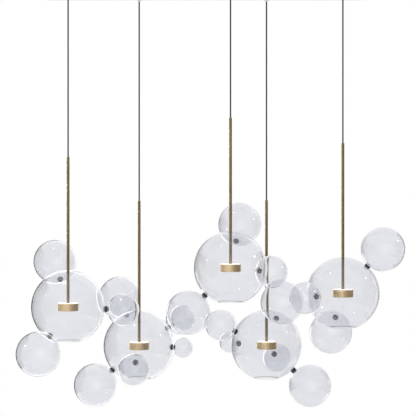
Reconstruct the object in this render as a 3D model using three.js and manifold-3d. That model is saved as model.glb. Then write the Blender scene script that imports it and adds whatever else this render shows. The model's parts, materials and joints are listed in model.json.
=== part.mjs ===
// Linear pendant light: a white ceiling canopy carries five pendants, and each pendant is a brass stem
// with a lamp head at the centre of a large glass globe, to which smaller glass bubbles are joined.
// Millimetres, +Z up. The origin is the centre of the face that lies on the ceiling, and -Y is the front.
import * as THREE from "three";
import { mergeVertices } from "three/addons/utils/BufferGeometryUtils.js";
import Module from "manifold-3d";

const wasm = await Module();
wasm.setup();

// Clearance between neighbours that touch on the real light, and overrun of every cutter
const clearance = 0.3;
const overrun = 5;

// Glass
const globeRadius = 150;
const globeWall = 3;
const largeBubbleRadius = 90;
const mediumBubbleRadius = 65;
const smallBubbleRadius = 42.5;
const bubbleWall = 2.4;

// Connector: a puck between two glasses, a stud through the globe wall and a spigot in the bubble's neck
const puckLength = 11;
const puckRadius = 12.2;
const studRadius = 5.5;
const washerRadius = 8;
const washerThickness = 1.6;
const spigotLength = 6;

// Stem, lamp head and cable
const stemLength = 612;
const stemRadius = 6;
const wireBoreRadius = 2.1;
const collarRadius = 9;
const collarThickness = 3;
const headRadius = 42.5;
const headHeight = 30;
const headChamfer = 1.2;
const diffuserHeight = 2;
const diffuserInset = 2.5;
const socketDepth = 15;
const headPassage = 2.5;
const cableRadius = 3;
const cableInStem = 15;
const swingLimitDegrees = 12;

// Canopy: cover, cable glands and ceiling plate
const canopyHeight = 40;
const canopyEndMargin = 115;
const canopySideMargin = 27.5;
const canopyCorner = 12;
const canopyEdge = 3;
const coverSheet = 2;
const glandRadius = 12;
const glandCollar = 3;
const glandHeight = 8;
const glandNoseRadius = 5;
const glandNutHeight = 6;
const plateSheet = 2;
const plateFlange = 18;
const driverLength = 190;
const driverWidth = 48;
const driverHeight = 25;
const driverPlace = 210;
const terminalLength = 60;
const terminalWidth = 24;
const terminalHeight = 18;
const terminalPlace = 120;
const mainsHoleRadius = 15;
const mainsHolePlace = 55;
const slotLength = 24;
const slotRadius = 3;
const slotShare = 0.8;

// Facets: sides of small turned pieces, of round ones that show and of a neck hole, which lies under its
// puck, and steps of a cable and of a corner
const turnedSides = 8;
const roundSides = 14;
const neckSides = 5;
const cableSteps = 4;
const cornerSteps = 2;

// Sizes of glass, each with the times that the edges of its icosahedron are split
const globe = { radius: globeRadius, splits: 3 };
const large = { radius: largeBubbleRadius, splits: 2 };
const medium = { radius: mediumBubbleRadius, splits: 1 };
const small = { radius: smallBubbleRadius, splits: 1 };

// Layout: the pendants hang in two rows, and their places follow the reach of one pendant
const rowSpacing = 245;
const shortestCable = 511.5;
const reach = globeRadius + puckLength + largeBubbleRadius + mediumBubbleRadius;

// Each pendant has its place along the canopy and its extra drop as shares of the reach, and its row,
// -1 at the front and 1 at the back. Each bubble has the azimuth and elevation in which it leaves the
// globe's centre, in degrees: azimuth 0 is +X and 90 is the back.
const pendants = [
  {
    name: "1",
    placeShare: -1.7722,
    dropShare: 0.5047,
    row: -1,
    bubbles: [
      { name: "a", size: large, azimuth: 112.5, elevation: 46 },
      { name: "b", size: large, azimuth: -128, elevation: -45.8 },
      { name: "c", size: medium, azimuth: -2, elevation: -2.8 },
    ],
  },
  {
    name: "2",
    placeShare: -0.8861,
    dropShare: 1.068,
    row: 1,
    bubbles: [
      { name: "a", size: large, azimuth: 124.5, elevation: 52 },
      { name: "b", size: large, azimuth: -156, elevation: -38.7 },
      { name: "c", size: medium, azimuth: -93.5, elevation: -20.9 },
      { name: "d", size: small, azimuth: -24.5, elevation: 0 },
      { name: "e", size: medium, azimuth: 29, elevation: 27.8 },
    ],
  },
  {
    name: "3",
    placeShare: 0.3228,
    dropShare: 0,
    row: -1,
    bubbles: [
      { name: "a", size: large, azimuth: 76.8, elevation: 44.7 },
      { name: "b", size: large, azimuth: -166, elevation: -45.6 },
      { name: "c", size: medium, azimuth: -44.5, elevation: -2.5 },
    ],
  },
  {
    name: "4",
    placeShare: 0.8133,
    dropShare: 1.06,
    row: 1,
    bubbles: [
      { name: "a", size: large, azimuth: -69, elevation: 49 },
      { name: "b", size: large, azimuth: 2, elevation: -42.8 },
      { name: "c", size: medium, azimuth: 75, elevation: -18.5 },
      { name: "d", size: small, azimuth: 139.5, elevation: 0 },
      { name: "e", size: medium, azimuth: -158.5, elevation: 23.7 },
    ],
  },
  {
    name: "5",
    placeShare: 1.7722,
    dropShare: 0.3275,
    row: -1,
    bubbles: [
      { name: "a", size: large, azimuth: -26, elevation: 46.5 },
      { name: "b", size: large, azimuth: 101.5, elevation: -43.2 },
      { name: "c", size: medium, azimuth: -136.5, elevation: -2.5 },
    ],
  },
];

const outermostShare = Math.max(...pendants.map((pendant) => Math.abs(pendant.placeShare)));
const canopyLength = 2 * (outermostShare * reach + canopyEndMargin);
const canopyDepth = rowSpacing + 2 * canopySideMargin;

const materials = {
  canopyWhite: new THREE.MeshStandardMaterial({ color: 0xf4f3f0, roughness: 0.55, metalness: 0 }),
  zincSteel: new THREE.MeshStandardMaterial({ color: 0xa9adb1, roughness: 0.45, metalness: 0.9 }),
  brass: new THREE.MeshStandardMaterial({ color: 0xb58a4e, roughness: 0.32, metalness: 1 }),
  clearGlass: new THREE.MeshStandardMaterial({
    color: 0xe9ebf2,
    roughness: 0.03,
    metalness: 0,
    transparent: true,
    opacity: 0.3,
  }),
  darkMetal: new THREE.MeshStandardMaterial({ color: 0x34323a, roughness: 0.4, metalness: 0.8 }),
  darkTextile: new THREE.MeshStandardMaterial({ color: 0x55565c, roughness: 0.9, metalness: 0 }),
};

function toSolid(geometry) {
  const bare = geometry.clone();
  bare.deleteAttribute("normal");
  bare.deleteAttribute("uv");
  const merged = mergeVertices(bare, 1e-4);
  return new wasm.Manifold(
    new wasm.Mesh({
      numProp: 3,
      vertProperties: new Float32Array(merged.attributes.position.array),
      triVerts: new Uint32Array(merged.index.array),
    }),
  );
}

function toGeometry(solid) {
  const mesh = solid.getMesh();
  const geometry = new THREE.BufferGeometry();
  geometry.setAttribute("position", new THREE.BufferAttribute(new Float32Array(mesh.vertProperties), 3));
  geometry.setIndex(new THREE.BufferAttribute(new Uint32Array(mesh.triVerts), 1));
  geometry.computeVertexNormals();
  return geometry;
}

// A solid of revolution round +Z from [radius, height] points, listed from the bottom up on the outside
function turned(points, sides) {
  const profile = points.map(([radius, height]) => new THREE.Vector2(radius, height));
  return new THREE.LatheGeometry(profile, sides).rotateX(Math.PI / 2);
}

function cylinder(radius, bottom, top, sides) {
  return turned(
    [
      [0, bottom],
      [radius, bottom],
      [radius, top],
      [0, top],
    ],
    sides,
  );
}

function roundedRectangle(length, width, corner) {
  const x = length / 2;
  const y = width / 2;
  const shape = new THREE.Shape();
  shape.moveTo(-x + corner, -y);
  shape.lineTo(x - corner, -y);
  shape.absarc(x - corner, -y + corner, corner, -Math.PI / 2, 0, false);
  shape.lineTo(x, y - corner);
  shape.absarc(x - corner, y - corner, corner, 0, Math.PI / 2, false);
  shape.lineTo(-x + corner, y);
  shape.absarc(-x + corner, y - corner, corner, Math.PI / 2, Math.PI, false);
  shape.lineTo(-x, -y + corner);
  shape.absarc(-x + corner, -y + corner, corner, Math.PI, 1.5 * Math.PI, false);
  return shape;
}

function slab(length, width, corner, bottom, top) {
  const shape = roundedRectangle(length, width, corner);
  const options = { depth: top - bottom, bevelEnabled: false, curveSegments: cornerSteps };
  return new THREE.ExtrudeGeometry(shape, options).translate(0, 0, bottom);
}

// A ball of even triangles, turned so that one of its first twelve corners points along -Z
function ball(radius, splits) {
  const geometry = new THREE.IcosahedronGeometry(radius, splits);
  const corner = new THREE.Vector3().fromBufferAttribute(geometry.attributes.position, 0).normalize();
  const turn = new THREE.Quaternion().setFromUnitVectors(corner, new THREE.Vector3(0, 0, -1));
  return geometry.applyQuaternion(turn);
}

// Radius of the largest ball that fits inside a faceted ball
function insideRadius(radius, splits) {
  const positions = ball(radius, splits).attributes.position;
  const facet = new THREE.Triangle();
  const plane = new THREE.Plane();
  let least = radius;
  for (let i = 0; i < positions.count; i += 3) {
    facet.setFromAttributeAndIndices(positions, i, i + 1, i + 2);
    least = Math.min(least, Math.abs(facet.getPlane(plane).constant));
  }
  return least;
}

// Height of a ball's surface above its centre, at a distance from its axis
function heightOnBall(radius, distance) {
  return Math.sqrt(radius * radius - distance * distance);
}

function direction(azimuth, elevation) {
  const around = THREE.MathUtils.degToRad(azimuth);
  const up = THREE.MathUtils.degToRad(elevation);
  return new THREE.Vector3(Math.cos(around) * Math.cos(up), Math.sin(around) * Math.cos(up), Math.sin(up));
}

function along(vector) {
  return new THREE.Quaternion().setFromUnitVectors(new THREE.Vector3(0, 0, 1), vector);
}

const holeRadius = studRadius + clearance;
const stemHoleRadius = stemRadius + clearance;
const cableSeatRadius = cableRadius + clearance;
const openingRadius = headRadius + headPassage;
const globeInside = globeRadius - globeWall;
const globeInsideFacets = insideRadius(globeInside, globe.splits);
const rimHeight = -heightOnBall(globeInside, openingRadius);

// Globe: a blown shell with a flat ground opening below, a hole for the stem and one for each stud
function globeGeometry(bubbles) {
  const outer = toSolid(ball(globeRadius, globe.splits).rotateX(Math.PI));
  const inner = toSolid(ball(globeInside, globe.splits).rotateX(Math.PI));
  const below = cylinder(globeRadius + overrun, -globeRadius - overrun, rimHeight, turnedSides);
  const opening = cylinder(openingRadius, -globeRadius - overrun, 0, roundSides);
  const stemHole = cylinder(stemHoleRadius, 0, globeRadius + overrun, turnedSides);
  let shell = outer.subtract(inner);
  for (const cutter of [below, opening, stemHole]) {
    shell = shell.subtract(toSolid(cutter));
  }
  for (const bubble of bubbles) {
    const hole = cylinder(holeRadius, globeInsideFacets - overrun, globeRadius + overrun, turnedSides);
    hole.applyQuaternion(along(direction(bubble.azimuth, bubble.elevation)));
    shell = shell.subtract(toSolid(hole));
  }
  return toGeometry(shell);
}

// Bubble: a blown shell whose neck hole points along -Z, towards its connector
function bubbleGeometry({ radius, splits }) {
  const outer = toSolid(ball(radius, splits));
  const inner = toSolid(ball(radius - bubbleWall, splits));
  const neckRadius = holeRadius / Math.cos(Math.PI / neckSides);
  const neck = toSolid(cylinder(neckRadius, -radius - overrun, -radius / 2, neckSides));
  return toGeometry(outer.subtract(inner).subtract(neck));
}

// Connector along +Z from the globe's centre: washer, stud, puck dished to both glasses, and spigot
function connectorGeometry(bubbleRadius) {
  const washerTop = heightOnBall(globeInsideFacets, washerRadius) - clearance;
  const bubbleCentre = globeRadius + puckLength + bubbleRadius;
  const onGlobe = (distance) => heightOnBall(globeRadius, distance) + clearance;
  const onBubble = (distance) => bubbleCentre - heightOnBall(bubbleRadius, distance) - clearance;
  return turned(
    [
      [0, washerTop - washerThickness],
      [washerRadius, washerTop - washerThickness],
      [washerRadius, washerTop],
      [studRadius, washerTop],
      [studRadius, onGlobe(studRadius)],
      [puckRadius, onGlobe(puckRadius)],
      [puckRadius, onBubble(puckRadius)],
      [studRadius, onBubble(studRadius)],
      [studRadius, bubbleCentre - bubbleRadius + spigotLength],
      [0, bubbleCentre - bubbleRadius + spigotLength],
    ],
    turnedSides,
  );
}

// Stem round +Z from the globe's centre: a narrow bore for the wires, the cable's seat at the top, and the
// collar that carries the globe under its stem hole
function stemGeometry() {
  const foot = headHeight / 2 + diffuserHeight - socketDepth + clearance;
  const collarTop = heightOnBall(globeInsideFacets, collarRadius) - clearance;
  const seatFloor = stemLength - cableInStem - clearance;
  return turned(
    [
      [wireBoreRadius, foot],
      [stemRadius, foot],
      [stemRadius, collarTop - collarThickness],
      [collarRadius, collarTop - collarThickness],
      [collarRadius, collarTop],
      [stemRadius, collarTop],
      [stemRadius, stemLength],
      [cableSeatRadius, stemLength],
      [cableSeatRadius, seatFloor],
      [wireBoreRadius, seatFloor],
      [wireBoreRadius, foot],
    ],
    turnedSides,
  );
}

// Lamp head: a flat turned body with its diffuser on top, and the socket for the stem
function headGeometry() {
  const top = headHeight / 2;
  const diffuserTop = top + diffuserHeight;
  return turned(
    [
      [0, -top],
      [headRadius - headChamfer, -top],
      [headRadius, -top + headChamfer],
      [headRadius, top],
      [headRadius - diffuserInset, top],
      [headRadius - diffuserInset, diffuserTop],
      [stemHoleRadius, diffuserTop],
      [stemHoleRadius, diffuserTop - socketDepth],
      [0, diffuserTop - socketDepth],
    ],
    roundSides,
  );
}

// Cable: taut between its gland and the stem, and a little short of the gland so that it can swing
const cableStart = -canopyHeight - glandHeight - clearance - cableRadius * Math.sin(
  THREE.MathUtils.degToRad(swingLimitDegrees),
);

function cableGeometry(drop) {
  const top = new THREE.Vector3(0, 0, cableStart);
  const bottom = new THREE.Vector3(0, 0, -canopyHeight - drop - cableInStem);
  const section = new THREE.Shape();
  section.absarc(0, 0, cableRadius, 0, 2 * Math.PI, false);
  return new THREE.ExtrudeGeometry(section, {
    steps: cableSteps,
    curveSegments: turnedSides / 2,
    extrudePath: new THREE.LineCurve3(top, bottom),
  });
}

// Gland: a nut inside the cover, and a collar under it whose nose grips the cable
function glandGeometry() {
  return turned(
    [
      [0, -canopyHeight - glandHeight],
      [glandNoseRadius, -canopyHeight - glandHeight],
      [glandRadius, -canopyHeight - glandCollar],
      [glandRadius, -canopyHeight + coverSheet + glandNutHeight],
      [0, -canopyHeight + coverSheet + glandNutHeight],
    ],
    turnedSides,
  );
}

function coverGeometry() {
  const shape = roundedRectangle(
    canopyLength - 2 * canopyEdge,
    canopyDepth - 2 * canopyEdge,
    canopyCorner - canopyEdge,
  );
  const body = new THREE.ExtrudeGeometry(shape, {
    depth: canopyHeight + overrun,
    bevelThickness: canopyEdge,
    bevelSize: canopyEdge,
    bevelSegments: 1,
    curveSegments: cornerSteps,
  }).translate(0, 0, -canopyHeight + canopyEdge);
  const inside = slab(
    canopyLength - 2 * coverSheet,
    canopyDepth - 2 * coverSheet,
    canopyCorner - coverSheet,
    -canopyHeight + coverSheet,
    overrun,
  );
  const above = slab(
    canopyLength + 2 * overrun,
    canopyDepth + 2 * overrun,
    canopyCorner,
    0,
    canopyHeight + canopyEdge + 2 * overrun,
  );
  let cover = toSolid(body).subtract(toSolid(above)).subtract(toSolid(inside));
  for (const pendant of pendants) {
    const gland = glandGeometry();
    gland.translate(pendant.placeShare * reach, (pendant.row * rowSpacing) / 2, 0);
    cover = cover.add(toSolid(gland));
  }
  return toGeometry(cover);
}

// Ceiling plate: a folded channel inside the cover, with the driver and the terminal block under it
function plateGeometry() {
  const length = canopyLength - 2 * coverSheet - 2 * canopyCorner;
  const halfWidth = canopyDepth / 2 - coverSheet - clearance;
  const section = new THREE.Shape();
  section.moveTo(-halfWidth, 0);
  section.lineTo(-halfWidth, -plateFlange);
  section.lineTo(-halfWidth + plateSheet, -plateFlange);
  section.lineTo(-halfWidth + plateSheet, -plateSheet);
  section.lineTo(halfWidth - plateSheet, -plateSheet);
  section.lineTo(halfWidth - plateSheet, -plateFlange);
  section.lineTo(halfWidth, -plateFlange);
  section.lineTo(halfWidth, 0);
  const channel = new THREE.ExtrudeGeometry(section, { depth: length, bevelEnabled: false });
  channel.rotateX(Math.PI / 2);
  channel.rotateZ(Math.PI / 2);
  channel.translate(-length / 2, 0, 0);
  const driver = new THREE.BoxGeometry(driverLength, driverWidth, driverHeight);
  driver.translate(driverPlace, 0, -driverHeight / 2 - plateSheet / 2);
  const terminal = new THREE.BoxGeometry(terminalLength, terminalWidth, terminalHeight);
  terminal.translate(-terminalPlace, 0, -terminalHeight / 2 - plateSheet / 2);
  let plate = toSolid(channel).add(toSolid(driver)).add(toSolid(terminal));
  const mainsHole = cylinder(mainsHoleRadius, -plateSheet - overrun, overrun, turnedSides);
  plate = plate.subtract(toSolid(mainsHole.translate(-mainsHolePlace, 0, 0)));
  for (const side of [-1, 1]) {
    for (const end of [-1, 1]) {
      const slot = slab(slotLength, 2 * slotRadius, slotRadius, -plateSheet - overrun, overrun);
      slot.translate((end * slotShare * length) / 2, side * slotShare * halfWidth, 0);
      plate = plate.subtract(toSolid(slot));
    }
  }
  return toGeometry(plate);
}

function piece(name, geometry, material) {
  const mesh = new THREE.Mesh(geometry, material);
  mesh.name = name;
  return mesh;
}

function pendantGroup(pendant) {
  const group = new THREE.Group();
  const drop = shortestCable + pendant.dropShare * reach;
  group.position.set(pendant.placeShare * reach, (pendant.row * rowSpacing) / 2, 0);
  group.add(piece(`cable_${pendant.name}`, cableGeometry(drop), materials.darkTextile));

  const lamp = new THREE.Group();
  lamp.position.z = -canopyHeight - drop - stemLength;
  lamp.add(piece(`stem_${pendant.name}`, stemGeometry(), materials.brass));
  lamp.add(piece(`lamp_head_${pendant.name}`, headGeometry(), materials.brass));
  lamp.add(piece(`globe_${pendant.name}`, globeGeometry(pendant.bubbles), materials.clearGlass));
  for (const bubble of pendant.bubbles) {
    const arm = new THREE.Group();
    arm.quaternion.copy(along(direction(bubble.azimuth, bubble.elevation)));
    const name = pendant.name + bubble.name;
    arm.add(piece(`connector_${name}`, connectorGeometry(bubble.size.radius), materials.darkMetal));
    const glass = piece(`bubble_${name}`, bubbleGeometry(bubble.size), materials.clearGlass);
    glass.position.z = globeRadius + puckLength + bubble.size.radius;
    arm.add(glass);
    lamp.add(arm);
  }
  group.add(lamp);
  return group;
}

const light = new THREE.Group();
light.name = "glass_bubble_pendant_light";
light.add(piece("canopy_cover", coverGeometry(), materials.canopyWhite));
light.add(piece("ceiling_plate", plateGeometry(), materials.zincSteel));
for (const pendant of pendants) {
  light.add(pendantGroup(pendant));
}

export default light;
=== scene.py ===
"""Glass bubble pendant light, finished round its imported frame. Metres, +Z up, the front looks along -Y."""
import json
import math

import bmesh
import bpy
from mathutils import Matrix, Vector

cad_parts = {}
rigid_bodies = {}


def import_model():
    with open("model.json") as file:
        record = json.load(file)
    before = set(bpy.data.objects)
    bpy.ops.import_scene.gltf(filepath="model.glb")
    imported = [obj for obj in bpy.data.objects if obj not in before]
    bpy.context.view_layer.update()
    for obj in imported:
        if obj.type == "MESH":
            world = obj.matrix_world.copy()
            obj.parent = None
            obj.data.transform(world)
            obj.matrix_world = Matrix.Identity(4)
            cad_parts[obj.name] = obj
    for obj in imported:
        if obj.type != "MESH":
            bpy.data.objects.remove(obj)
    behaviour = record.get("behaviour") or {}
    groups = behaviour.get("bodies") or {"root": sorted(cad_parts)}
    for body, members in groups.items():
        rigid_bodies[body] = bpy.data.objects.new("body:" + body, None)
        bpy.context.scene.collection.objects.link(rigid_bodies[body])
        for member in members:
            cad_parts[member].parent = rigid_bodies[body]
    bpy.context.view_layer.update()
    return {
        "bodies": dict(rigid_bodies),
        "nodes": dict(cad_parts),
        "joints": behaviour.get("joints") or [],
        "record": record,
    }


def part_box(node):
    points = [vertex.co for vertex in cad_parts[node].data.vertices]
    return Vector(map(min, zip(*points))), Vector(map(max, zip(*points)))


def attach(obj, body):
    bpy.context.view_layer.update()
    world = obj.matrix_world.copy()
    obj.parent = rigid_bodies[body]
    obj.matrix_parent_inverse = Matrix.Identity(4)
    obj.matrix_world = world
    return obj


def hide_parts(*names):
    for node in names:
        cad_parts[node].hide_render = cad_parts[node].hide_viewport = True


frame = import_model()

MM = 0.001
CLEARANCE = 0.3 * MM

# Camera: far off and level with the middle of the light, as in the photograph
CAMERA_PLACE = (0.01025, -7.1225, -0.919)
CAMERA_TILT = math.radians(90)
CAMERA_LENS = 148.62
CAMERA_SENSOR = 36

# Glass
GLOBE_RADIUS = 150 * MM
GLOBE_WALL = 3 * MM
GLOBE_INSIDE = GLOBE_RADIUS - GLOBE_WALL
BUBBLE_WALL = 2.4 * MM
OPENING_RADIUS = 45 * MM
NECK_RADIUS = 6.2 * MM
GROUND_EDGE = 0.4 * MM
DRILL_OVERRUN = 5 * MM

# Connector: a waisted puck, with a stud into the globe and a spigot into the bubble
PUCK_LENGTH = 11 * MM
PUCK_RADIUS = 12.2 * MM
WAIST_RADIUS = 11.4 * MM
WAIST_HALF_FLOOR = 0.7 * MM
WAIST_HALF_MOUTH = 1.1 * MM
STUD_RADIUS = 5.5 * MM
STUD_CORE_RADIUS = 4.5 * MM
STUD_REACH = 1.4 * MM
SPIGOT_CORE_RADIUS = 3.5 * MM
SPIGOT_LENGTH = 6 * MM

# Silicone round the connector
SEAL_RADIUS = 11.2 * MM
SEAL_THICKNESS = 1.9 * MM
WASHER_RADIUS = 8 * MM
WASHER_THICKNESS = 1.3 * MM
SLEEVE_BORE_RADIUS = 3.7 * MM
SLEEVE_GAP = 0.1 * MM
SLEEVE_SETBACK = 1 * MM

# Cable and gland
CABLE_RADIUS = 3 * MM
CABLE_IN_STEM = 15 * MM
CABLE_POINTS = 18
CABLE_BEVEL = 5
GLAND_RADIUS = 11.8 * MM
GLAND_NECK_RADIUS = 11 * MM
GLAND_NOSE_RADIUS = 5 * MM
GLAND_BORE_RADIUS = CABLE_RADIUS + 1 * MM
GLAND_BORE_DEPTH = 2 * MM
GLAND_RIM = 3 * MM
GLAND_NOSE_GAP = 0.8 * MM

# Stem
STEM_RADIUS = 6 * MM
STEM_TOP_GAP = 0.01 * MM
WIRE_BORE_RADIUS = 2.1 * MM
SEAT_RADIUS = CABLE_RADIUS + CLEARANCE
SEAT_CHAMFER = 0.4 * MM
SEAT_CHAMFER_DEPTH = 1.2 * MM
SOCKET_DEPTH = 15 * MM
COLLAR_HEIGHT = 2.6 * MM
COLLAR_LIP = 0.6 * MM
COLLAR_FLARE = 1.2 * MM
COLLAR_GAP = 3 * CLEARANCE

# Lamp head and diffuser
HEAD_RADIUS = 42.5 * MM
HEAD_HEIGHT = 30 * MM
HEAD_CHAMFER = 1.2 * MM
GROOVE_RADIUS = 35.5 * MM
GROOVE_WIDTH = 0.8 * MM
GROOVE_DEPTH = 0.6 * MM
FERRULE_RADIUS = 8.5 * MM
FERRULE_RISE = 0.4 * MM
DIFFUSER_RADIUS = 40 * MM
DIFFUSER_HEIGHT = 2 * MM
DIFFUSER_SINK = 2 * MM
DIFFUSER_EDGE = 1.1 * MM
DIFFUSER_SEAM = 1 * MM

# Canopy
CANOPY_DEPTH = 40 * MM
COVER_SHEET = 2 * MM
COVER_EDGE = 3 * MM
COVER_CORNER = 12 * MM
LEAST_CORNER = 1 * MM

# Cover screws, with their button's profile as shares of its radius and height
SCREW_RADIUS = 3.8 * MM
SCREW_HEIGHT = 1.4 * MM
SCREW_LIFT = 0.05 * MM
SCREW_DROP = 12 * MM
SCREW_INSET = 90 * MM
SHANK_SHARE = 0.5
CROWN_SHARE = 0.8
RECESS_MOUTH_SHARE = 0.42
RECESS_FLOOR_SHARE = 0.36
RECESS_HEIGHT_SHARE = 0.3

# Edge radii, from fine to broad
FINE_EDGE = 0.2 * MM
THIN_EDGE = 0.3 * MM
SOFT_EDGE = 0.4 * MM
MIDDLE_EDGE = 0.5 * MM
ROUND_EDGE = 0.6 * MM
FULL_EDGE = 0.7 * MM
BROAD_EDGE = 0.8 * MM

# Facets
GLOBE_SIDES = 128
GLOBE_RINGS = 72
BUBBLE_SIDES = 72
BUBBLE_RINGS = 40
HEAD_SIDES = 128
GLAND_SIDES = 64
SMALL_SIDES = 40
CORNER_STEPS = 6
FILLET_STEPS = 4
SMOOTH_LIMIT = math.radians(32)
SPHERE_TOLERANCE = 0.25 * MM
ON_AXIS = 1e-7

# Brass: what share its fine lines have in its tone beside its patches, and how far its gloss strays
LINES_SHARE = 0.45
LESS_ROUGH, MORE_ROUGH = 0.05, 0.08
QUARTER_TURN = 0.25

# Braid of the cable cover: how its first set of strands lies, and how fine, wavy and fuzzy it is
BRAID_TURN = Vector((0.5, math.radians(42), 0.6))
BRAID_SCALE = 190
BRAID_WANDER = 0.6
BRAID_LEAST_TONE = 0.5

# World, floor and bounces
WHITE = (1, 1, 1, 1)
AMBIENT = 0.75
FLOOR_LEVEL = -2.6
FLOOR_SIZE = 7.0
FLOOR_CELLS = 8
FLOOR_FADES_FROM, FLOOR_FADES_TO = 1.7, 3.3
GLASS_BOUNCES = 48
GLOSSY_BOUNCES = 16

# Soft lamps: name, place, width and power
LAMP_TARGET = (0, 0, -1.3)
SOFTBOXES = (
    ("key", (-2.4, -3.0, 0.8), 1.4, 28),
    ("rim", (-2.6, 2.4, -0.4), 1.2, 45),
)
# Small lamps that give the glass its points of light: name and place
SPARKLES = (
    ("sparkle_left", (-2.6, -0.4, -0.2)),
    ("sparkle_top", (-0.9, -0.5, 1.2)),
    ("sparkle_right", (2.4, -0.1, -0.1)),
)
SPARKLE_WIDTH = 0.18
SPARKLE_POWER = 4

# What bare metal and a glass's near side mirror, by azimuth: 0 is the front, right is positive
OUTER_WALLS = (
    (-172, (1.00, 1.00, 1.00)),
    (-162, (0.25, 0.25, 0.26)),
    (-130, (0.20, 0.20, 0.21)),
    (-100, (0.40, 0.40, 0.40)),
    (-60, (0.66, 0.66, 0.65)),
    (-25, (0.92, 0.92, 0.90)),
    (-6, (1.05, 1.04, 1.02)),
    (6, (1.20, 1.18, 1.15)),
    (26, (0.66, 0.62, 0.57)),
    (48, (0.40, 0.36, 0.31)),
    (100, (0.36, 0.34, 0.31)),
    (130, (0.55, 0.54, 0.53)),
    (155, (1.00, 1.00, 1.00)),
)
# What is mirrored inside a glass, by azimuth
INNER_WALLS = (
    (-172, (2.50, 2.47, 2.42)),
    (-150, (2.37, 2.35, 2.29)),
    (-130, (1.31, 1.30, 1.25)),
    (-90, (1.31, 1.30, 1.25)),
    (-60, (1.50, 1.47, 1.40)),
    (-25, (1.87, 1.85, 1.77)),
    (0, (1.87, 1.82, 1.72)),
    (26, (1.00, 0.90, 0.76)),
    (48, (0.56, 0.48, 0.39)),
    (100, (0.46, 0.40, 0.33)),
    (130, (0.66, 0.62, 0.56)),
    (155, (1.25, 1.25, 1.25)),
)
WALL_DISTANCE = 3.0
WALL_SPACING = 0.1
WALL_LOW, WALL_TOP = -2.59, 1.0
WALL_FADE_LOW, WALL_FADE_HIGH = -0.4, 0.9
WALL_SIDES = 90

# Black panels: name, x, front, back, and how dense each is to shallow and to deep reflections
FLAGS = (
    ("flag_left", -1.35, -0.3, 2.4, 1.0, 0.25),
    ("flag_right", 1.35, 0.0, 1.3, 0.6, 0.0),
)
FLAG_LOW, FLAG_TOP = -2.1, -0.5

# Depths of a light path are whole numbers, and this tells none from one
MET_AT_ALL = 0.5

# A reflection counts as deep from the third glass surface that its path goes through
DEEP_FROM, DEEP_TO = 2.4, 2.6

# A colour Mix node's sockets share their names with its other data types, so they go by number
MIX_FIRST, MIX_SECOND, MIX_RESULT = 6, 7, 2


def new_object(name, data):
    """An object in the scene for a mesh, a curve, a lamp or the camera."""
    item = bpy.data.objects.new(name, data)
    bpy.context.scene.collection.objects.link(item)
    return item


def add_camera():
    data = bpy.data.cameras.new("camera")
    data.sensor_width = CAMERA_SENSOR
    data.lens = CAMERA_LENS
    camera = new_object("camera", data)
    camera.location = CAMERA_PLACE
    camera.rotation_euler = (CAMERA_TILT, 0, 0)
    bpy.context.scene.camera = camera


# Node helpers
class Nodes:
    """A node tree, with one call for each kind of node that the finishes and the studio share."""

    def __init__(self, tree):
        self.nodes = tree.nodes
        self.links = tree.links

    def feed(self, socket, value):
        """Links the socket to another node's output, or sets it to a plain value."""
        if isinstance(value, bpy.types.NodeSocket):
            self.links.new(value, socket)
        else:
            socket.default_value = value

    def add(self, kind, inputs=None, **settings):
        node = self.nodes.new(kind)
        for name, value in settings.items():
            setattr(node, name, value)
        for socket, value in (inputs or {}).items():
            self.feed(node.inputs[socket], value)
        return node

    def position(self):
        return self.add("ShaderNodeTexCoord").outputs["Object"]

    def mapped(self, **mapping):
        """Object coordinates after a Mapping node with the given Scale or Rotation."""
        return self.add("ShaderNodeMapping", {"Vector": self.position(), **mapping}).outputs["Vector"]

    def noise(self, scale, detail=3.0, stretch=(1, 1, 1), roughness=0.5):
        vector = self.mapped(Scale=stretch)
        inputs = {"Vector": vector, "Scale": scale, "Detail": detail, "Roughness": roughness}
        return self.add("ShaderNodeTexNoise", inputs).outputs["Fac"]

    def ramp(self, factor, low, high, low_at=0.35, high_at=0.65):
        """A colour that runs from low to high as the factor goes from low_at to high_at."""
        node = self.add("ShaderNodeValToRGB", {"Fac": factor})
        for index, (place, colour) in enumerate(((low_at, low), (high_at, high))):
            stop = node.color_ramp.elements[index]
            stop.position = place
            stop.color = (*colour, 1)
        return node.outputs["Color"]

    def between(self, factor, low, high, low_at=0.3, high_at=0.7):
        """A number that runs from low to high as the factor goes from low_at to high_at."""
        inputs = {"Value": factor, "From Min": low_at, "From Max": high_at, "To Min": low, "To Max": high}
        return self.add("ShaderNodeMapRange", inputs).outputs["Result"]

    def combine(self, operation, first, second):
        return self.add("ShaderNodeMath", {0: first, 1: second}, operation=operation).outputs["Value"]

    def mix(self, factor, first, second):
        return self.add("ShaderNodeMixShader", {"Fac": factor, 1: first, 2: second}).outputs["Shader"]

    def seen_directly(self):
        """1 for the camera, and for what metal and glass show of the background."""
        path = self.add("ShaderNodeLightPath").outputs
        through = self.combine("MAXIMUM", path["Is Glossy Ray"], path["Is Transmission Ray"])
        return self.combine("MAXIMUM", path["Is Camera Ray"], through)

    def seen_in_reflections(self, shallow, deep):
        """How dense a card is: 0 but on a path that met a mirror or a glass's sheen, and no matt surface.

        There it is shallow for what bare metal or a glass's near wall mirrors, and deep inside a glass.
        """
        path = self.add("ShaderNodeLightPath").outputs
        mirrored = self.combine("GREATER_THAN", path["Glossy Depth"], MET_AT_ALL)
        clean = self.combine("LESS_THAN", path["Diffuse Depth"], MET_AT_ALL)
        seen = self.combine("MULTIPLY", mirrored, clean)
        density = self.between(path["Transmission Depth"], shallow, deep, DEEP_FROM, DEEP_TO)
        return self.combine("MULTIPLY", seen, density)


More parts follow.
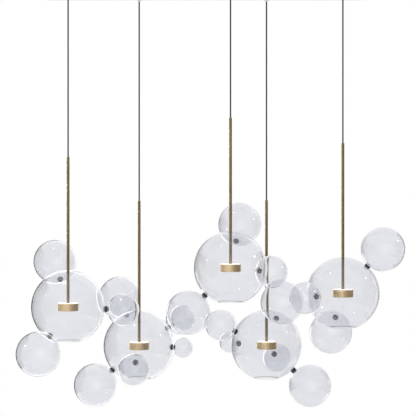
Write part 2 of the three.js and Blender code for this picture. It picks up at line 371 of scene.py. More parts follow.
class Finish(Nodes):
    """A material with a Principled shader, and what drives its colour, roughness and relief."""

    def __init__(self, name, settings=None):
        self.material = bpy.data.materials.new(name)
        self.material.use_nodes = True
        super().__init__(self.material.node_tree)
        self.shader = self.nodes["Principled BSDF"]
        self.surface = self.nodes["Material Output"].inputs["Surface"]
        for socket, value in (settings or {}).items():
            self.feed(self.shader.inputs[socket], value)

    def colour(self, factor, low, high, **places):
        self.feed(self.shader.inputs["Base Color"], self.ramp(factor, low, high, **places))

    def roughness(self, factor, low, high, **places):
        self.feed(self.shader.inputs["Roughness"], self.between(factor, low, high, **places))

    def relief(self, height, strength, distance):
        bump = self.add("ShaderNodeBump", {"Height": height, "Strength": strength, "Distance": distance})
        self.feed(self.shader.inputs["Normal"], bump.outputs["Normal"])


# Materials
def clear_glass():
    """Blown glass: a grey tint that is painted shade, with faint streaks in it, a slow wave in its surface
    and a breath of haze.
    """
    glass = Finish("clear_glass", {"Transmission Weight": 1.0, "IOR": 1.46})
    streaks = glass.noise(scale=9, detail=2, stretch=(1, 1, 0.4))
    # The grey tint is painted shade: it darkens the clear glass to stand in for greyer surroundings seen
    # through it. The streaks vary it at random.
    glass.colour(streaks, (0.868, 0.874, 0.898), (0.888, 0.894, 0.916))
    haze = glass.noise(scale=38, detail=4)
    glass.roughness(haze, 0.0, 0.012, low_at=0.5, high_at=0.8)
    wave = glass.noise(scale=16, detail=1)
    glass.relief(wave, strength=0.12, distance=2 * MM)
    return glass.material


def satin_brass(name, low, high, roughness, relief, spread):
    """Turned brass with fine lines round its axis, which spread its gloss along the axis."""
    brass = Finish(name, {"Metallic": 1.0, "Anisotropic": spread, "Anisotropic Rotation": QUARTER_TURN})
    tangent = brass.add("ShaderNodeTangent", direction_type="RADIAL", axis="Z")
    brass.feed(brass.shader.inputs["Tangent"], tangent.outputs["Tangent"])
    lines = brass.noise(scale=1, detail=5, stretch=(20, 20, 1800), roughness=0.65)
    patches = brass.noise(scale=26)
    tone = brass.combine("ADD", brass.combine("MULTIPLY", lines, LINES_SHARE),
                         brass.combine("MULTIPLY", patches, 1 - LINES_SHARE))
    brass.colour(tone, low, high, low_at=0.38, high_at=0.62)
    brass.roughness(lines, roughness - LESS_ROUGH, roughness + MORE_ROUGH)
    brass.relief(lines, strength=relief, distance=0.05 * MM)
    return brass.material


def opal():
    """Opal acrylic, lit from below by its LED board."""
    acrylic = Finish("opal", {
        "Subsurface Weight": 0.4,
        "Subsurface Radius": (4 * MM, 4 * MM, 3 * MM),
        "Emission Color": (1.0, 0.93, 0.82, 1),
        "Emission Strength": 1.2,
    })
    cloud = acrylic.noise(scale=60)
    acrylic.colour(cloud, (0.93, 0.92, 0.89), (0.97, 0.965, 0.95))
    acrylic.roughness(cloud, 0.42, 0.56)
    acrylic.relief(cloud, strength=0.05, distance=0.2 * MM)
    return acrylic.material


def burnished():
    """Near-black burnished steel with fine marks."""
    steel = Finish("burnished_steel", {"Metallic": 0.85})
    marks = steel.noise(scale=1, detail=4, stretch=(900, 900, 900))
    patches = steel.noise(scale=120)
    steel.colour(patches, (0.028, 0.027, 0.031), (0.062, 0.059, 0.064))
    steel.roughness(marks, 0.2, 0.38)
    steel.relief(marks, strength=0.12, distance=0.03 * MM)
    return steel.material


def clear_silicone():
    """Translucent silicone, slightly milky."""
    silicone = Finish("clear_silicone", {"Transmission Weight": 0.6, "IOR": 1.41})
    cloud = silicone.noise(scale=300, detail=2)
    silicone.colour(cloud, (0.86, 0.87, 0.88), (0.93, 0.94, 0.95))
    silicone.roughness(cloud, 0.22, 0.34)
    silicone.relief(cloud, strength=0.1, distance=0.1 * MM)
    return silicone.material


def textile():
    """Braided cable cover: two sets of strands that cross each other."""
    cloth = Finish("dark_textile", {"Sheen Weight": 0.08})
    strands = []
    for side in (1, -1):
        inputs = {"Vector": cloth.mapped(Rotation=BRAID_TURN * side), "Scale": BRAID_SCALE,
                  "Distortion": BRAID_WANDER}
        wave = cloth.add("ShaderNodeTexWave", inputs, bands_direction="X")
        strands.append(wave.outputs["Fac"])
    weave = cloth.combine("MAXIMUM", *strands)
    fuzz = cloth.noise(scale=2600, detail=2)
    tone = cloth.combine("MULTIPLY", weave, cloth.combine("ADD", fuzz, BRAID_LEAST_TONE))
    cloth.colour(tone, (0.010, 0.010, 0.013), (0.030, 0.031, 0.038), low_at=0.25, high_at=0.9)
    cloth.roughness(fuzz, 0.78, 0.95)
    cloth.relief(tone, strength=0.5, distance=0.2 * MM)
    return cloth.material


def powder_coat():
    """Matt white powder coat with a fine orange peel."""
    coat = Finish("white_powder_coat")
    peel = coat.noise(scale=520)
    patches = coat.noise(scale=5, detail=2)
    coat.colour(patches, (0.87, 0.87, 0.865), (0.91, 0.91, 0.905))
    coat.roughness(peel, 0.42, 0.56)
    coat.relief(peel, strength=0.15, distance=0.1 * MM)
    return coat.material


def zinc():
    """Galvanised sheet with its spangle."""
    sheet = Finish("zinc_steel", {"Metallic": 0.9})
    spangle = sheet.add("ShaderNodeTexVoronoi", {"Vector": sheet.mapped(), "Scale": 110})
    grain = sheet.add("ShaderNodeRGBToBW", {"Color": spangle.outputs["Color"]}).outputs["Val"]
    sheet.colour(grain, (0.52, 0.54, 0.56), (0.66, 0.68, 0.7), low_at=0.2, high_at=0.8)
    sheet.roughness(grain, 0.38, 0.55, low_at=0.2, high_at=0.8)
    scratches = sheet.noise(scale=1, detail=4, stretch=(8, 400, 400))
    sheet.relief(scratches, strength=0.08, distance=0.05 * MM)
    return sheet.material


# Mesh helpers
def fillet(corners):
    """Points of a profile from (radius, height, fillet) corners, each fillet an arc."""
    points = []
    count = len(corners)
    for i, (x, y, radius) in enumerate(corners):
        here = Vector((x, y))
        if radius == 0 or i in (0, count - 1):
            points.append(here)
            continue
        before = (Vector(corners[i - 1][:2]) - here).normalized()
        after = (Vector(corners[i + 1][:2]) - here).normalized()
        half = before.angle(after) / 2
        start = here + before * radius / math.tan(half)
        end = here + after * radius / math.tan(half)
        middle = here + (before + after).normalized() * radius / math.sin(half)
        for step in range(FILLET_STEPS + 1):
            spoke = start.lerp(end, step / FILLET_STEPS) - middle
            points.append(middle + spoke.normalized() * radius)
    return [(point.x, point.y) for point in points]


def arc(radius, start, end, steps):
    """Points on a circle round the origin, by angles from the top of the axis."""
    angles = [start + (end - start) * i / steps for i in range(steps + 1)]
    return [(radius * math.sin(angle), radius * math.cos(angle)) for angle in angles]


def on_ball(radius, distance):
    """How high a ball's surface stands over its centre, at a distance from its axis."""
    return math.sqrt(radius * radius - distance * distance)


def lathe(shape, profile, sides, closed=False):
    """Adds a turned solid round Z to a bmesh, from a profile that ends on the axis or closes on itself."""
    angles = [2 * math.pi * i / sides for i in range(sides)]
    rings = []
    for radius, height in profile:
        if radius < ON_AXIS:
            rings.append([shape.verts.new((0, 0, height))])
            continue
        rings.append([shape.verts.new((radius * math.cos(a), radius * math.sin(a), height)) for a in angles])
    pairs = list(zip(rings, rings[1:]))
    if closed:
        pairs.append((rings[-1], rings[0]))
    for low, high in pairs:
        if len(low) == 1 and len(high) == 1:
            continue
        for i in range(sides):
            j = (i + 1) % sides
            corners = [low[i % len(low)], low[j % len(low)], high[j % len(high)], high[i % len(high)]]
            shape.faces.new(list(dict.fromkeys(corners)))


def finish_mesh(name, shape, place, material):
    """Turns a bmesh into an object at its place, smooth but for its sharp edges."""
    bmesh.ops.recalc_face_normals(shape, faces=shape.faces)
    mesh = bpy.data.meshes.new(name)
    shape.to_mesh(mesh)
    shape.free()
    mesh.transform(place)
    mesh.polygons.foreach_set("use_smooth", [True] * len(mesh.polygons))
    mesh.set_sharp_from_angle(angle=SMOOTH_LIMIT)
    mesh.materials.append(material)
    return new_object(name, mesh)


def turned(name, profile, sides, place, material, closed=False):
    shape = bmesh.new()
    lathe(shape, profile, sides, closed)
    return finish_mesh(name, shape, place, material)


def dress(piece, body, slot, *nodes):
    """Makes a piece ride on a body and hides the CAD nodes that it stands in for. Its slot is not used."""
    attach(piece, body)
    if nodes:
        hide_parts(*nodes)


def radial_normals(piece, centre, radii):
    """Gives the faces on each sphere of a shell that sphere's own normals, and leaves the rest alone."""
    mesh = piece.data
    normals = [(0, 0, 0)] * len(mesh.loops)
    for polygon in mesh.polygons:
        spokes = [mesh.vertices[i].co - centre for i in polygon.vertices]
        for radius in radii:
            if all(abs(spoke.length - radius) < SPHERE_TOLERANCE for spoke in spokes):
                side = 1 if polygon.normal.dot(spokes[0]) > 0 else -1
                for loop, spoke in zip(polygon.loop_indices, spokes):
                    normals[loop] = tuple(side * spoke.normalized())
    mesh.normals_split_custom_set(normals)


def apply_modifiers(piece):
    bpy.context.view_layer.update()
    result = piece.evaluated_get(bpy.context.evaluated_depsgraph_get())
    mesh = bpy.data.meshes.new_from_object(result)
    piece.modifiers.clear()
    piece.data = mesh


# Layout, read from the frame
class Pendant:
    """A cable, a stem, a lamp head and a globe, with the small glasses on the globe."""

    def __init__(self, number):
        joints = {joint["name"]: joint for joint in frame["joints"]}
        self.number = number
        self.body = f"pendant_{number}"
        self.cable_body = f"cable_{number}"
        self.stem_top = Vector(joints[f"turn_{number}"]["pos_m"])
        self.cable_top = Vector(joints[f"swing_{number}"]["pos_m"])
        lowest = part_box(f"lamp_head_{number}")[0]
        self.centre = Vector((self.stem_top.x, self.stem_top.y, lowest.z + HEAD_HEIGHT / 2))
        self.place = Matrix.Translation(self.centre)
        members = frame["record"]["behaviour"]["bodies"][self.body]
        self.bubbles = [Bubble(self, node.split("_")[1]) for node in members if node.startswith("bubble")]


class Bubble:
    """A small glass and the arm that it sits on: the arm's Z runs from the globe's centre to the glass."""

    def __init__(self, pendant, name):
        self.name = name
        corners = {tuple(v.co) for v in frame["nodes"][f"connector_{name}"].data.vertices}
        middle = sum((Vector(corner) for corner in corners), Vector()) / len(corners)
        self.direction = (middle - pendant.centre).normalized()
        glass = frame["nodes"][f"bubble_{name}"].data.vertices
        farthest = max((v.co - pendant.centre).dot(self.direction) for v in glass)
        self.radius = (farthest - GLOBE_RADIUS - PUCK_LENGTH) / 2
        self.distance = GLOBE_RADIUS + PUCK_LENGTH + self.radius
        self.centre = pendant.centre + self.direction * self.distance
        self.arm = pendant.place @ self.direction.to_track_quat("Z", "Y").to_matrix().to_4x4()

    def above(self, distance):
        """Where the small glass's near surface crosses the arm, at a distance from its axis."""
        return self.distance - on_ball(self.radius, distance)


# Pieces
def add_cable(pendant, material):
    """A taut textile cable, from under its gland to its seat in the stem."""
    end = pendant.stem_top.z - CABLE_IN_STEM
    length = pendant.cable_top.z - end
    data = bpy.data.curves.new(f"textile_cable_{pendant.number}", "CURVE")
    data.dimensions = "3D"
    data.bevel_depth = CABLE_RADIUS
    data.bevel_resolution = CABLE_BEVEL
    data.use_fill_caps = True
    spline = data.splines.new("POLY")
    spline.points.add(CABLE_POINTS - 1)
    for i, point in enumerate(spline.points):
        height = pendant.cable_top.z - length * i / (CABLE_POINTS - 1)
        point.co = (pendant.stem_top.x, pendant.stem_top.y, height, 1)
    data.materials.append(material)
    cable = new_object(data.name, data)
    dress(cable, pendant.cable_body, "dark_textile", f"cable_{pendant.number}")


def add_stem(pendant, material):
    """A turned tube: a bore for the wires, a seat for the cable, and a small collar under the globe's top."""
    top = pendant.stem_top.z - pendant.centre.z
    rim = top - STEM_TOP_GAP
    seat_floor = top - CABLE_IN_STEM - CLEARANCE
    foot = HEAD_HEIGHT / 2 + DIFFUSER_HEIGHT - SOCKET_DEPTH + CLEARANCE
    low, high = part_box(f"stem_{pendant.number}")
    collar_radius = (high.x - low.x) / 2
    collar_top = on_ball(GLOBE_INSIDE, collar_radius) - COLLAR_GAP
    collar_low = collar_top - COLLAR_HEIGHT
    profile = fillet([
        (WIRE_BORE_RADIUS, foot, 0),
        (STEM_RADIUS, foot, SOFT_EDGE),
        (STEM_RADIUS, collar_low - COLLAR_FLARE, 0),
        (collar_radius - COLLAR_LIP, collar_low, MIDDLE_EDGE),
        (collar_radius, collar_low, SOFT_EDGE),
        (collar_radius, collar_top, SOFT_EDGE),
        (STEM_RADIUS, collar_top, FINE_EDGE),
        (STEM_RADIUS, rim, BROAD_EDGE),
        (SEAT_RADIUS + SEAT_CHAMFER, rim, THIN_EDGE),
        (SEAT_RADIUS, top - SEAT_CHAMFER_DEPTH, 0),
        (SEAT_RADIUS, seat_floor, 0),
        (WIRE_BORE_RADIUS, seat_floor, 0),
    ])
    stem = turned(f"brass_stem_{pendant.number}", profile, SMALL_SIDES, pendant.place, material, closed=True)
    dress(stem, pendant.body, "brass_stem", f"stem_{pendant.number}")


def add_lamp_head(pendant, brass, glow):
    """A flat turned head with a shadow groove, and the opal disc that closes it on top."""
    top = HEAD_HEIGHT / 2
    glow_top = top + DIFFUSER_HEIGHT
    seat_radius = DIFFUSER_RADIUS + CLEARANCE
    seat_floor = top - DIFFUSER_SINK
    socket_radius = STEM_RADIUS + CLEARANCE
    profile = fillet([
        (0, -top, 0),
        (GROOVE_RADIUS - GROOVE_WIDTH, -top, 0),
        (GROOVE_RADIUS - GROOVE_WIDTH, -top + GROOVE_DEPTH, 0),
        (GROOVE_RADIUS, -top + GROOVE_DEPTH, 0),
        (GROOVE_RADIUS, -top, 0),
        (HEAD_RADIUS - HEAD_CHAMFER, -top, THIN_EDGE),
        (HEAD_RADIUS, -top + HEAD_CHAMFER, ROUND_EDGE),
        (HEAD_RADIUS, top, MIDDLE_EDGE),
        (seat_radius, top, FINE_EDGE),
        (seat_radius, seat_floor, 0),
        (FERRULE_RADIUS, seat_floor, 0),
        (FERRULE_RADIUS, glow_top + FERRULE_RISE, MIDDLE_EDGE),
        (socket_radius, glow_top + FERRULE_RISE, 0),
        (socket_radius, glow_top - SOCKET_DEPTH, 0),
        (0, glow_top - SOCKET_DEPTH, 0),
    ])
    head = turned(f"brass_head_{pendant.number}", profile, HEAD_SIDES, pendant.place, brass)
    dress(head, pendant.body, "brass_head", f"lamp_head_{pendant.number}")

    base = seat_floor + CLEARANCE
    bore_radius = FERRULE_RADIUS + CLEARANCE
    profile = fillet([
        (bore_radius, base, 0),
        (DIFFUSER_RADIUS, base, THIN_EDGE),
        (DIFFUSER_RADIUS, glow_top, DIFFUSER_EDGE),
        (bore_radius, glow_top, THIN_EDGE),
        (bore_radius, base + DIFFUSER_SEAM, 0),
    ])
    disc = turned(f"opal_disc_{pendant.number}", profile, HEAD_SIDES, pendant.place, glow, closed=True)
    dress(disc, pendant.body, "brass_head")


def add_globe(pendant, material):
    """A blown shell: ground flat below, drilled for the stem and for each connector's stud."""
    rim = on_ball(GLOBE_INSIDE, OPENING_RADIUS)
    hole = STEM_RADIUS + CLEARANCE
    outer_end = math.acos(-rim / GLOBE_RADIUS) - GROUND_EDGE / GLOBE_RADIUS
    inner_end = math.acos(-rim / GLOBE_INSIDE) - GROUND_EDGE / GLOBE_INSIDE
    outer = arc(GLOBE_RADIUS, math.asin(hole / GLOBE_RADIUS), outer_end, GLOBE_RINGS)
    ground = [(on_ball(GLOBE_RADIUS, rim) - GROUND_EDGE, -rim), (OPENING_RADIUS + GROUND_EDGE, -rim)]
    inner = arc(GLOBE_INSIDE, inner_end, math.asin(hole / GLOBE_INSIDE), GLOBE_RINGS)
    globe = turned(f"glass_globe_{pendant.number}", outer + ground + inner, GLOBE_SIDES, pendant.place,
                   material, closed=True)
    drill(globe, pendant)
    radial_normals(globe, pendant.centre, (GLOBE_RADIUS, GLOBE_INSIDE))
    dress(globe, pendant.body, "clear_glass", f"globe_{pendant.number}")


def drill(globe, pendant):
    """Cuts a clean hole through the shell for each stud."""
    shape = bmesh.new()
    radius = STUD_RADIUS + CLEARANCE
    low, high = GLOBE_INSIDE - DRILL_OVERRUN, GLOBE_RADIUS + DRILL_OVERRUN
    for bubble in pendant.bubbles:
        first = len(shape.verts)
        lathe(shape, [(0, low), (radius, low), (radius, high), (0, high)], SMALL_SIDES)
        shape.verts.ensure_lookup_table()
        turn = pendant.place.inverted() @ bubble.arm
        bmesh.ops.transform(shape, matrix=turn, verts=shape.verts[first:])
    cutter = finish_mesh("cutter", shape, pendant.place, globe.data.materials[0])
    cut = globe.modifiers.new("drill", "BOOLEAN")
    cut.operation = "DIFFERENCE"
    cut.solver = "EXACT"
    cut.object = cutter
    apply_modifiers(globe)
    bpy.data.objects.remove(cutter)


def add_bubble(pendant, bubble, material):
    """A blown ball with a neck hole towards its connector."""
    inside = bubble.radius - BUBBLE_WALL
    outer = arc(bubble.radius, math.pi - math.asin(NECK_RADIUS / bubble.radius), 0, BUBBLE_RINGS)
    inner = arc(inside, 0, math.pi - math.asin(NECK_RADIUS / inside), BUBBLE_RINGS)
    outer[-1] = (0, bubble.radius)
    inner[0] = (0, inside)
    place = bubble.arm @ Matrix.Translation((0, 0, bubble.distance))
    glass = turned(f"glass_bubble_{bubble.name}", outer + inner, BUBBLE_SIDES, place, material, closed=True)
    radial_normals(glass, bubble.centre, (bubble.radius, inside))
    dress(glass, pendant.body, "clear_glass", f"bubble_{bubble.name}")


def add_connector(pendant, bubble, steel, silicone):
    """A waisted dark puck with its stud and spigot, and the silicone between it and the two glasses."""
    low = on_ball(GLOBE_RADIUS, SEAL_RADIUS) + SEAL_THICKNESS
    high = bubble.above(SEAL_RADIUS) - SEAL_THICKNESS
    waist = (low + high) / 2
    stud_end = on_ball(GLOBE_RADIUS, STUD_RADIUS) - GLOBE_WALL - STUD_REACH
    neck = bubble.distance - bubble.radius
    tip = neck + SPIGOT_LENGTH
    profile = fillet([
        (0, stud_end, 0),
        (STUD_CORE_RADIUS, stud_end, ROUND_EDGE),
        (STUD_CORE_RADIUS, low, 0),
        (PUCK_RADIUS, low, FULL_EDGE),
        (PUCK_RADIUS, waist - WAIST_HALF_MOUTH, SOFT_EDGE),
        (WAIST_RADIUS, waist - WAIST_HALF_FLOOR, FINE_EDGE),
        (WAIST_RADIUS, waist + WAIST_HALF_FLOOR, FINE_EDGE),
        (PUCK_RADIUS, waist + WAIST_HALF_MOUTH, SOFT_EDGE),
        (PUCK_RADIUS, high, FULL_EDGE),
        (SPIGOT_CORE_RADIUS, high, 0),
        (SPIGOT_CORE_RADIUS, tip, ROUND_EDGE),
        (0, tip, 0),
    ])
    puck = turned(f"puck_{bubble.name}", profile, SMALL_SIDES, bubble.arm, steel)
    dress(puck, pendant.body, "dark_metal", f"connector_{bubble.name}")

    washer_top = on_ball(GLOBE_INSIDE, WASHER_RADIUS) - CLEARANCE
    washer_low = washer_top - WASHER_THICKNESS
    globe_seal = seal_section(on_ball(GLOBE_RADIUS, STUD_RADIUS), on_ball(GLOBE_RADIUS, SEAL_RADIUS), low)
    bubble_seal = seal_section(bubble.above(STUD_RADIUS), bubble.above(SEAL_RADIUS), high)
    washer = [
        (STUD_RADIUS, washer_low, 0),
        (WASHER_RADIUS, washer_low, SOFT_EDGE),
        (WASHER_RADIUS, washer_top, FINE_EDGE),
        (STUD_RADIUS, washer_top, 0),
    ]
    sleeve = [
        (SLEEVE_BORE_RADIUS, neck, 0),
        (STUD_RADIUS, neck, 0),
        (NECK_RADIUS - SLEEVE_GAP, neck + BUBBLE_WALL, THIN_EDGE),
        (STUD_RADIUS, tip - SLEEVE_SETBACK, ROUND_EDGE),
        (SLEEVE_BORE_RADIUS, tip - SLEEVE_SETBACK, 0),
    ]
    shape = bmesh.new()
    for section in (globe_seal, bubble_seal, washer, sleeve):
        lathe(shape, fillet(section), SMALL_SIDES, closed=True)
    seals = finish_mesh(f"seals_{bubble.name}", shape, bubble.arm, silicone)
    dress(seals, pendant.body, "clear_glass")


def seal_section(at_stud, at_edge, face):
    """A ring round the stud, between the puck's flat face and a glass that it meets at two heights."""
    return [
        (STUD_RADIUS, at_stud, 0),
        (SEAL_RADIUS, at_edge, FINE_EDGE),
        (SEAL_RADIUS, face, FINE_EDGE),
        (STUD_RADIUS, face, 0),
    ]


def rounded_rectangle(length, width, corner):
    """Points of a rounded rectangle, anticlockwise."""
    points = []
    for k, (sx, sy) in enumerate(((1, -1), (1, 1), (-1, 1), (-1, -1))):
        middle = Vector((sx * (length / 2 - corner), sy * (width / 2 - corner)))
        for i in range(CORNER_STEPS + 1):
            angle = math.radians(-90 + 90 * k + 90 * i / CORNER_STEPS)
            points.append(middle + corner * Vector((math.cos(angle), math.sin(angle))))
    return points


def add_canopy(material):
    """A folded tray with soft edges."""
    low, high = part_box("canopy_cover")
    length, width = high.x - low.x, high.y - low.y
    outside = [(0, 0)]
    for i in range(FILLET_STEPS + 1):
        angle = math.radians(90 * i / FILLET_STEPS)
        inset = COVER_EDGE * (1 - math.cos(angle))
        rise = COVER_EDGE * (1 - math.sin(angle))
        outside.append((inset, rise - CANOPY_DEPTH))
    floor = COVER_SHEET - CANOPY_DEPTH
    inside = [
        (COVER_SHEET + COVER_EDGE / 2, floor),
        (COVER_SHEET, floor + COVER_EDGE / 2),
        (COVER_SHEET, 0),
    ]
    shape = bmesh.new()
    rings = []
    for inset, height in outside + inside:
        corner = max(COVER_CORNER - inset, LEAST_CORNER)
        points = rounded_rectangle(length - 2 * inset, width - 2 * inset, corner)
        rings.append([shape.verts.new((point.x, point.y, height)) for point in points])
    underside = len(outside) - 1
    for k, (one, two) in enumerate(zip(rings, rings[1:] + rings[:1])):
        if k == underside:
            shape.faces.new(one)
            shape.faces.new(two)
            continue
        for i in range(len(one)):
            j = (i + 1) % len(one)
            shape.faces.new((one[i], one[j], two[j], two[i]))
    cover = finish_mesh("white_cover", shape, Matrix.Identity(4), material)
    dress(cover, "canopy", "canopy_white", "canopy_cover")


def add_gland(pendant, white):
    """A turned nipple under the cover, out of which the cable runs."""
    underside = -CANOPY_DEPTH
    nose = pendant.cable_top.z + GLAND_NOSE_GAP
    place = Matrix.Translation((pendant.stem_top.x, pendant.stem_top.y, 0))
    profile = fillet([
        (GLAND_BORE_RADIUS, underside + COVER_SHEET, 0),
        (GLAND_NECK_RADIUS, underside + COVER_SHEET, 0),
        (GLAND_RADIUS, underside, 0),
        (GLAND_RADIUS, underside - GLAND_RIM, ROUND_EDGE),
        (GLAND_NOSE_RADIUS, nose, BROAD_EDGE),
        (GLAND_BORE_RADIUS, nose, THIN_EDGE),
        (GLAND_BORE_RADIUS, nose + GLAND_BORE_DEPTH, 0),
    ])
    gland = turned(f"gland_{pendant.number}", profile, GLAND_SIDES, place, white, closed=True)
    dress(gland, "canopy", "canopy_white")


def add_cover_screws(steel):
    """Four button screws that hold the cover to the plate, two on each long side."""
    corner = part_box("canopy_cover")[1]
    shank = SCREW_RADIUS * SHANK_SHARE
    recess_floor = SCREW_HEIGHT * RECESS_HEIGHT_SHARE
    profile = fillet([
        (0, -COVER_SHEET, 0),
        (shank, -COVER_SHEET, 0),
        (shank, SCREW_LIFT, 0),
        (SCREW_RADIUS, SCREW_LIFT, FINE_EDGE),
        (SCREW_RADIUS * CROWN_SHARE, SCREW_HEIGHT * CROWN_SHARE, MIDDLE_EDGE),
        (SCREW_RADIUS * RECESS_MOUTH_SHARE, SCREW_HEIGHT, FINE_EDGE),
        (SCREW_RADIUS * RECESS_FLOOR_SHARE, recess_floor, 0),
        (0, recess_floor, 0),
    ])
    places = [(sx, sy) for sx in (-1, 1) for sy in (-1, 1)]
    for number, (sx, sy) in enumerate(places, 1):
        face = Matrix.Translation((sx * (corner.x - SCREW_INSET), sy * corner.y, -SCREW_DROP))
        turn = Matrix.Rotation(math.radians(-90 * sy), 4, "X")
        screw = turned(f"cover_screw_{number}", profile, SMALL_SIDES, face @ turn, steel)
        dress(screw, "canopy", "zinc_steel")


# Studio
def add_world():
    """White behind the object, also in glass and metal, and a plain pale light on matt surfaces."""
    world = bpy.data.worlds.new("studio")
    bpy.context.scene.world = world
    world.use_nodes = True
    sky = Nodes(world.node_tree)
    sky.nodes.clear()
    ambient, white = (
        sky.add("ShaderNodeBackground", {"Color": WHITE, "Strength": level}).outputs["Background"]
        for level in (AMBIENT, 1.0)
    )
    sky.add("ShaderNodeOutputWorld", {"Surface": sky.mix(sky.seen_directly(), ambient, white)})
    world.cycles.sampling_method = "NONE"


def add_floor():
    """A pale floor at a room's height below the ceiling: it fades to white, and is clear from below."""
    bpy.ops.mesh.primitive_grid_add(x_subdivisions=FLOOR_CELLS, y_subdivisions=FLOOR_CELLS,
                                    size=FLOOR_SIZE, location=(0, 0, FLOOR_LEVEL))
    floor = bpy.context.object
    floor.name = "studio_floor"
    pale = Finish("pale_floor", {"Roughness": 0.9})
    cloud = pale.noise(scale=1.2, detail=2)
    pale.colour(cloud, (0.86, 0.86, 0.86), (0.9, 0.9, 0.9))
    reach = pale.add("ShaderNodeVectorMath", {0: pale.position()}, operation="LENGTH").outputs["Value"]
    fading = pale.between(reach, 0, 1, FLOOR_FADES_FROM, FLOOR_FADES_TO)
    white = pale.add("ShaderNodeEmission", {"Strength": 1.0}).outputs["Emission"]
    directly = pale.combine("MULTIPLY", fading, pale.seen_directly())
    above = pale.mix(directly, pale.shader.outputs["BSDF"], white)
    from_below = pale.add("ShaderNodeNewGeometry").outputs["Backfacing"]
    nothing = pale.add("ShaderNodeBsdfTransparent").outputs["BSDF"]
    pale.feed(pale.surface, pale.mix(from_below, above, nothing))
    pale.material.cycles.emission_sampling = "NONE"
    floor.data.materials.append(pale.material)


def add_lamp(name, place, width, power):
    """A round area lamp that faces the globes."""
    data = bpy.data.lights.new(name, "AREA")
    data.shape = "DISK"
    data.size = width
    data.energy = power
    lamp = new_object(name, data)
    lamp.location = place
    aim = Vector(LAMP_TARGET) - Vector(place)
    lamp.rotation_euler = aim.to_track_quat("-Z", "Y").to_euler()
    return lamp


def card_paint(name, shallow, deep):
    """The start of a material that only reflections see: everything else passes through it."""
    paint = Finish(name)
    paint.nodes.remove(paint.shader)
    light = paint.add("ShaderNodeEmission")
    nothing = paint.add("ShaderNodeBsdfTransparent").outputs["BSDF"]
    density = paint.seen_in_reflections(shallow, deep)
    paint.feed(paint.surface, paint.mix(density, nothing, light.outputs["Emission"]))
    paint.material.cycles.emission_sampling = "NONE"
    return paint, light.inputs["Color"]


def stage_card(name, shape, material):
    """Sets up a card of the studio that only mirrors and glass can see."""
    card = finish_mesh(name, shape, Matrix.Identity(4), material)
    for ray in ("camera", "diffuse", "volume_scatter", "shadow"):
        setattr(card, f"visible_{ray}", False)


def wall_shape(stops, distance):
    """An upright sheet on a circle round the light, from the first stop's azimuth to the last one's."""
    shape = bmesh.new()
    first, last = math.radians(stops[0][0]), math.radians(stops[-1][0])
    low_ring, high_ring = [], []
    for i in range(WALL_SIDES + 1):
        angle = first + (last - first) * i / WALL_SIDES
        x, y = distance * math.sin(angle), -distance * math.cos(angle)
        low_ring.append(shape.verts.new((x, y, WALL_LOW)))
        high_ring.append(shape.verts.new((x, y, WALL_TOP)))
    for i in range(WALL_SIDES):
        shape.faces.new((low_ring[i], low_ring[i + 1], high_ring[i + 1], high_ring[i]))
    return shape


def wall_colours(paint, stops):
    """The stops' colours by azimuth, which fade to white towards the ceiling."""
    split = paint.add("ShaderNodeSeparateXYZ", {"Vector": paint.position()})
    x, y, z = (split.outputs[axis] for axis in "XYZ")
    angle = paint.combine("ARCTAN2", x, paint.combine("MULTIPLY", y, -1))
    turn = paint.between(angle, 0, 1, -math.pi, math.pi)
    bands = paint.add("ShaderNodeValToRGB", {"Fac": turn})
    ready = bands.color_ramp.elements
    for index, (degrees, colour) in enumerate(stops):
        place = (degrees + 180) / 360
        band = ready[index] if index < 2 else ready.new(place)
        band.position = place
        band.color = (*colour, 1)
    height = paint.between(z, 0, 1, WALL_FADE_LOW, WALL_FADE_HIGH)
    inputs = {"Factor": height, MIX_FIRST: bands.outputs["Color"], MIX_SECOND: WHITE}
    return paint.add("ShaderNodeMix", inputs, data_type="RGBA").outputs[MIX_RESULT]


def add_walls(name, stops, distance, shallow, deep):
    """A curved wall from the left by the front to the right, which glass and brass mirror."""
    paint, light = card_paint(name, shallow, deep)
    paint.feed(light, wall_colours(paint, stops))
    stage_card(name, wall_shape(stops, distance), paint.material)


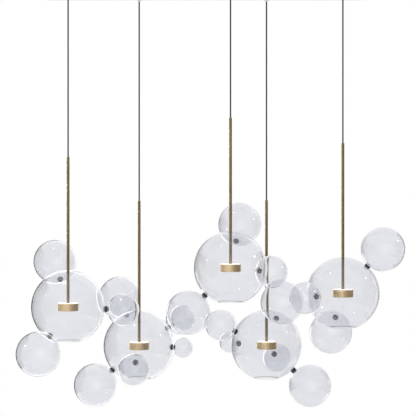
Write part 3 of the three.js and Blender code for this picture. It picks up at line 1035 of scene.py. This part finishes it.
def add_flag(name, x, front, back, shallow, deep):
    """A black panel beside the outermost pendant, which draws the dark edge of the glass there."""
    shape = bmesh.new()
    corners = ((front, FLAG_LOW), (back, FLAG_LOW), (back, FLAG_TOP), (front, FLAG_TOP))
    shape.faces.new([shape.verts.new((x, y, z)) for y, z in corners])
    paint, light = card_paint(name, shallow, deep)
    felt = paint.noise(scale=90)
    paint.feed(light, paint.ramp(felt, (0.01, 0.01, 0.01), (0.03, 0.03, 0.03)))
    stage_card(name, shape, paint.material)


def add_studio():
    add_floor()
    add_world()
    add_walls("outer_walls", OUTER_WALLS, WALL_DISTANCE, shallow=1.0, deep=0.0)
    add_walls("inner_walls", INNER_WALLS, WALL_DISTANCE + WALL_SPACING, shallow=0.0, deep=1.0)
    for flag in FLAGS:
        add_flag(*flag)
    for softbox in SOFTBOXES:
        lamp = add_lamp(*softbox)
        lamp.visible_transmission = False
        lamp.data.cycles.use_multiple_importance_sampling = False
    for name, place in SPARKLES:
        lamp = add_lamp(name, place, SPARKLE_WIDTH, SPARKLE_POWER)
        lamp.visible_diffuse = False
    bpy.context.scene.view_settings.view_transform = "Standard"
    cycles = bpy.context.scene.cycles
    cycles.max_bounces = GLASS_BOUNCES
    cycles.transmission_bounces = GLASS_BOUNCES
    cycles.transparent_max_bounces = GLASS_BOUNCES
    cycles.glossy_bounces = GLOSSY_BOUNCES


def main():
    add_camera()
    numbers = sorted(body.split("_")[1] for body in frame["bodies"] if body.startswith("pendant"))
    pendants = [Pendant(number) for number in numbers]
    cloth = textile()
    for pendant in pendants:
        add_cable(pendant, cloth)

    glass = clear_glass()
    # The stems get a far darker copy of the heads' brass: painted shade, standing in for the dark
    # surroundings that the stems mirror.
    stem_brass = satin_brass("stem_brass", (0.20, 0.142, 0.07), (0.26, 0.187, 0.096),
                             roughness=0.42, relief=0.04, spread=0.85)
    head_brass = satin_brass("head_brass", (0.552, 0.408, 0.208), (0.616, 0.464, 0.264),
                             roughness=0.36, relief=0.2, spread=0.5)
    glow = opal()
    steel = burnished()
    silicone = clear_silicone()
    white = powder_coat()
    plate = zinc()
    for pendant in pendants:
        add_stem(pendant, stem_brass)
        add_lamp_head(pendant, head_brass, glow)
        add_globe(pendant, glass)
        for bubble in pendant.bubbles:
            add_bubble(pendant, bubble, glass)
            add_connector(pendant, bubble, steel, silicone)
        add_gland(pendant, white)
    add_canopy(white)
    add_cover_screws(plate)
    ceiling_plate = frame["nodes"]["ceiling_plate"]
    ceiling_plate.data.materials.clear()
    ceiling_plate.data.materials.append(plate)
    add_studio()


main()
